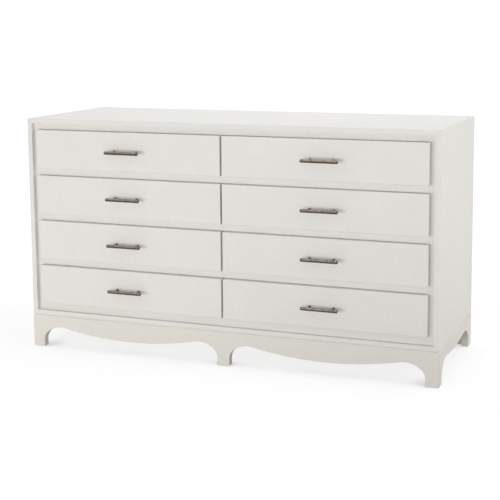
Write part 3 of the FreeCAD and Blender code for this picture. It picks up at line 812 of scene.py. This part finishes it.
def make_drawer_fittings(row, column):
    """
    The pull's two screws on the inner front, the screws that hold the slides to the drawer box,
    and two stop pads behind the front's outer end.
    """
    body = f"row{row}_{column}_drawer"
    pull_low, pull_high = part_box(f"row{row}_{column}_drawer_pull")
    box_low, box_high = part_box(f"row{row}_{column}_drawer_box")
    front_low, front_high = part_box(f"row{row}_{column}_drawer_front")
    middle = (pull_low[0] + pull_high[0]) / 2
    level = (pull_low[2] + pull_high[2]) / 2
    inside = box_low[1] + BOX_BOARD
    screws = [
        facing(washer_head(), (middle + hand * POST_SPACING / 2, inside, level), "+y")
        for hand in (-1, 1)
    ]
    slide_low, slide_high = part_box(f"row{row}_{column}_drawer_slides")
    slide_level = (slide_low[2] + slide_high[2]) / 2
    for web, way in ((box_low[0] - SLIDE_GAUGE, "-x"), (box_high[0] + SLIDE_GAUGE, "+x")):
        for inset in SLIDE_SCREWS:
            screws.append(facing(pan_head(), (web, slide_low[1] + inset, slide_level), way))
    new_piece(f"{body}_screws", join(screws), FINISHES["slide_steel"], body)
    bend = np.linspace(0, np.pi / 2, BUMPER_BENDS)
    pad = turned(
        np.r_[0, BUMPER_RADIUS * (BUMPER_TOP + (1 - BUMPER_TOP) * np.cos(bend)), 0],
        np.r_[0, BUMPER_THICK * np.sin(bend), BUMPER_THICK], SCREW_AROUND,
    )
    edge = front_low[0] + PAD_INSET if column == "left" else front_high[0] - PAD_INSET
    pads = [
        facing(pad, (edge, front_high[1], height), "+y")
        for height in (front_low[2] + 2 * PAD_INSET, front_high[2] - 2 * PAD_INSET)
    ]
    new_piece(f"{body}_stop_pads", join(pads), BUMPER_GUM, body)


def make_back_screws():
    """Screws through the back panel into the partition and the slide packers."""
    low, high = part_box("back_panel")
    stile_low, stile_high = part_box("right_stile")
    edge = (stile_low[0] + stile_high[0]) / 2
    spots = [(0.0, high[1], low[2] + share * (high[2] - low[2])) for share in BACK_SCREWS]
    for row in ROWS:
        slide_low, slide_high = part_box(f"row{row}_left_middle_slides")
        level = (slide_low[2] + slide_high[2]) / 2
        spots += [(-edge, high[1], level), (edge, high[1], level)]
    heads = [facing(washer_head(), spot, "+y") for spot in spots]
    new_piece("back_panel_screws", join(heads), FINISHES["slide_steel"], "case")


# Glue blocks behind the feet

BLOCK_WIDTH = 16 * MM
BLOCK_BLUNT = 2 * MM


def make_glue_blocks():
    """Three-cornered blocks in the corners of the base, and square ones behind its middle feet."""
    low, high = (np.array(corner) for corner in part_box("foot_blocks"))
    square = np.array(((-1, -1), (1, -1), (1, 1), (-1, 1))) * BLOCK_WIDTH / 2
    corner = np.array((
        (0, 0), (BLOCK_WIDTH, 0), (BLOCK_WIDTH, BLOCK_BLUNT),
        (BLOCK_BLUNT, BLOCK_WIDTH), (0, BLOCK_WIDTH),
    ))
    blocks = []
    for front, seat in ((1, low[1]), (-1, high[1])):
        middle = (0, seat + front * BLOCK_WIDTH / 2)
        blocks.append(upright_prism(square + middle, low[2], high[2]))
        for inward, end in ((1, low[0]), (-1, high[0])):
            outline = corner * (inward, front) + (end, seat)
            outline = outline if inward * front > 0 else outline[::-1]
            blocks.append(upright_prism(outline, low[2], high[2]))
    piece = new_piece("glue_blocks", join(blocks), BASE_LINEN, "case", smooth=False)
    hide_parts("foot_blocks")


# Camera, floor and light

# The floor is dulled near one spot, so that it throws less light on the right end of the base
FLOOR_HALF = 30.0
FLOOR_BOUNCE = (0.9, 0.85, 0.775)
FLOOR_DULL = (0.385, 0.37, 0.345)
DULL_SPOT = (0.8, -0.65, 0.0)
DULL_NEAR, DULL_FAR = 0.3, 1.3
FLOOR_SEEN = (0.22, 0.22, 0.22)
FLOOR_NEAR, FLOOR_FAR = 1.1, 3.2
FLOOR_LIFT = 0.825

# The shadow beside the feet: shares of hidden sky, its depth, and where it ends
CONTACT_REACH = 0.115
CONTACT_FROM, CONTACT_FULL = 0.25, 0.5
CONTACT_DARK = 0.3
CONTACT_SIDE, CONTACT_FADE = 0.7, 0.76
CONTACT_FRONT, CONTACT_BEHIND = -0.285, -0.25

ROOM_LIGHT = 0.48
ROOM_TINT = (0.97, 0.99, 1.0)
WHITE = (1.0, 1.0, 1.0)

CAMERA_PLACE = (1.5032, -3.7770, 1.1857)
CAMERA_YAW, CAMERA_PITCH, CAMERA_ROLL = -20.38, 7.77, 0.3
SENSOR = 36.0
FOCAL_SHARE = 2.2874
CAMERA_SHIFT = (-0.05, -0.15)

# Each soft light: its name, spot, aim, width, height and power
LAMPS = (
    ("front_strip", (-0.6, -4.4, 0.48), (0.0, -0.25, 0.45), 4.0, 0.8, 71.8),
    ("overhead", (0.0, 0.4, 3.0), (0.0, 0.1, 0.8), 3.0, 1.8, 33.0),
    ("right_fill", (3.5, -0.55, 1.3), (0.75, -0.05, 0.5), 1.6, 1.4, 30.5),
)


def make_camera():
    """A long lens to the right of the dresser and above it, turned left and a little down."""
    data = bpy.data.cameras.new("camera")
    data.sensor_width = SENSOR
    data.lens = SENSOR * FOCAL_SHARE
    data.shift_x, data.shift_y = CAMERA_SHIFT
    camera = bpy.data.objects.new("camera", data)
    camera.location = CAMERA_PLACE
    look = Euler((math.radians(90 - CAMERA_PITCH), 0, math.radians(-CAMERA_YAW)), "XYZ").to_matrix()
    roll = Euler((0, 0, math.radians(-CAMERA_ROLL)), "XYZ").to_matrix()
    camera.rotation_euler = (look @ roll).to_euler()
    bpy.context.scene.collection.objects.link(camera)
    bpy.context.scene.camera = camera


def background_rays(tree):
    """One for rays that see the background straight, in a polished surface or through glass."""
    path = place(tree, "LightPath").outputs
    shiny = calc(tree, "MAXIMUM", path["Is Glossy Ray"], path["Is Transmission Ray"])
    return calc(tree, "MAXIMUM", path["Is Camera Ray"], shiny)


def contact_shadow(tree, spot):
    """
    One on the open floor, and less beside the feet under the dresser.

    It falls with the share of the sky that is hidden within the reach, from where the apron
    alone hides it to where a foot does, and only behind the front and between the sides.
    """
    opened = place(tree, "AmbientOcclusion", {"Distance": CONTACT_REACH}).outputs["AO"]
    dark = remap(tree, opened, 1 - CONTACT_FROM, 1 - CONTACT_FULL, 0.0, CONTACT_DARK)
    floor_spot = place(tree, "SeparateXYZ", {"Vector": spot}).outputs
    across = calc(tree, "ABSOLUTE", floor_spot["X"])
    between = remap(tree, across, CONTACT_SIDE, CONTACT_FADE, 1.0, 0.0)
    behind = remap(tree, floor_spot["Y"], CONTACT_FRONT, CONTACT_BEHIND, 0.0, 1.0)
    under = calc(tree, "MULTIPLY", between, behind)
    return calc(tree, "SUBTRACT", 1.0, calc(tree, "MULTIPLY", under, dark))


def make_floor():
    """A pale floor that keeps the dresser's soft shadow and runs to white away from it."""
    material, tree, output = new_finish("studio_floor")
    seen = background_rays(tree)
    spot = place(tree, "TexCoord").outputs["Object"]
    apart = place(tree, "VectorMath", {0: spot, 1: DULL_SPOT}, operation="DISTANCE").outputs["Value"]
    clear = remap(tree, apart, DULL_NEAR, DULL_FAR, 0.0, 1.0)
    bounce = blend_colours(tree, clear, FLOOR_DULL, FLOOR_BOUNCE)
    surface = place(tree, "BsdfDiffuse", {"Color": blend_colours(tree, seen, bounce, FLOOR_SEEN)})
    away = place(tree, "VectorMath", {0: spot}, operation="LENGTH").outputs["Value"]
    glow = remap(tree, away, FLOOR_NEAR, FLOOR_FAR, FLOOR_LIFT, 1.0)
    grounded = calc(tree, "MULTIPLY", glow, contact_shadow(tree, spot))
    lift = place(tree, "Emission", {"Strength": calc(tree, "MULTIPLY", seen, grounded)})
    both = tree.nodes.new("ShaderNodeAddShader")
    tree.links.new(surface.outputs[0], both.inputs[0])
    tree.links.new(lift.outputs[0], both.inputs[1])
    tree.links.new(both.outputs[0], output.inputs["Surface"])
    mesh = bpy.data.meshes.new("floor")
    corners = FLOOR_HALF * np.array(((-1, -1, 0), (1, -1, 0), (1, 1, 0), (-1, 1, 0)))
    mesh.from_pydata(corners.tolist(), [], [(0, 1, 2, 3)])
    mesh.materials.append(material)
    floor = bpy.data.objects.new("floor", mesh)
    bpy.context.scene.collection.objects.link(floor)


def make_world():
    """An even pale room, plain white where it is seen."""
    world = bpy.data.worlds.new("studio")
    world.use_nodes = True
    tree = world.node_tree
    tree.nodes.clear()
    seen = background_rays(tree)
    tint = blend_colours(tree, seen, ROOM_TINT, WHITE)
    strength = remap(tree, seen, 0.0, 1.0, ROOM_LIGHT, 1.0)
    sky = place(tree, "Background", {"Color": tint, "Strength": strength})
    output = tree.nodes.new("ShaderNodeOutputWorld")
    tree.links.new(sky.outputs[0], output.inputs["Surface"])
    bpy.context.scene.world = world


def softbox(name, spot, aim, width, height, power):
    """A rectangular soft light at a spot, turned to its aim."""
    data = bpy.data.lights.new(name, "AREA")
    data.shape = "RECTANGLE"
    data.size, data.size_y = width, height
    data.energy = power
    light = bpy.data.objects.new(name, data)
    light.location = spot
    light.rotation_euler = (Vector(aim) - Vector(spot)).to_track_quat("-Z", "Y").to_euler()
    light.visible_camera = False
    bpy.context.scene.collection.objects.link(light)


dress_boards()
for row in ROWS:
    for column in COLUMNS:
        make_pull(row, column)
        make_drawer_fittings(row, column)
make_back_screws()
make_glue_blocks()
make_camera()
make_floor()
make_world()
for lamp in LAMPS:
    softbox(*lamp)
bpy.context.scene.view_settings.view_transform = "Standard"
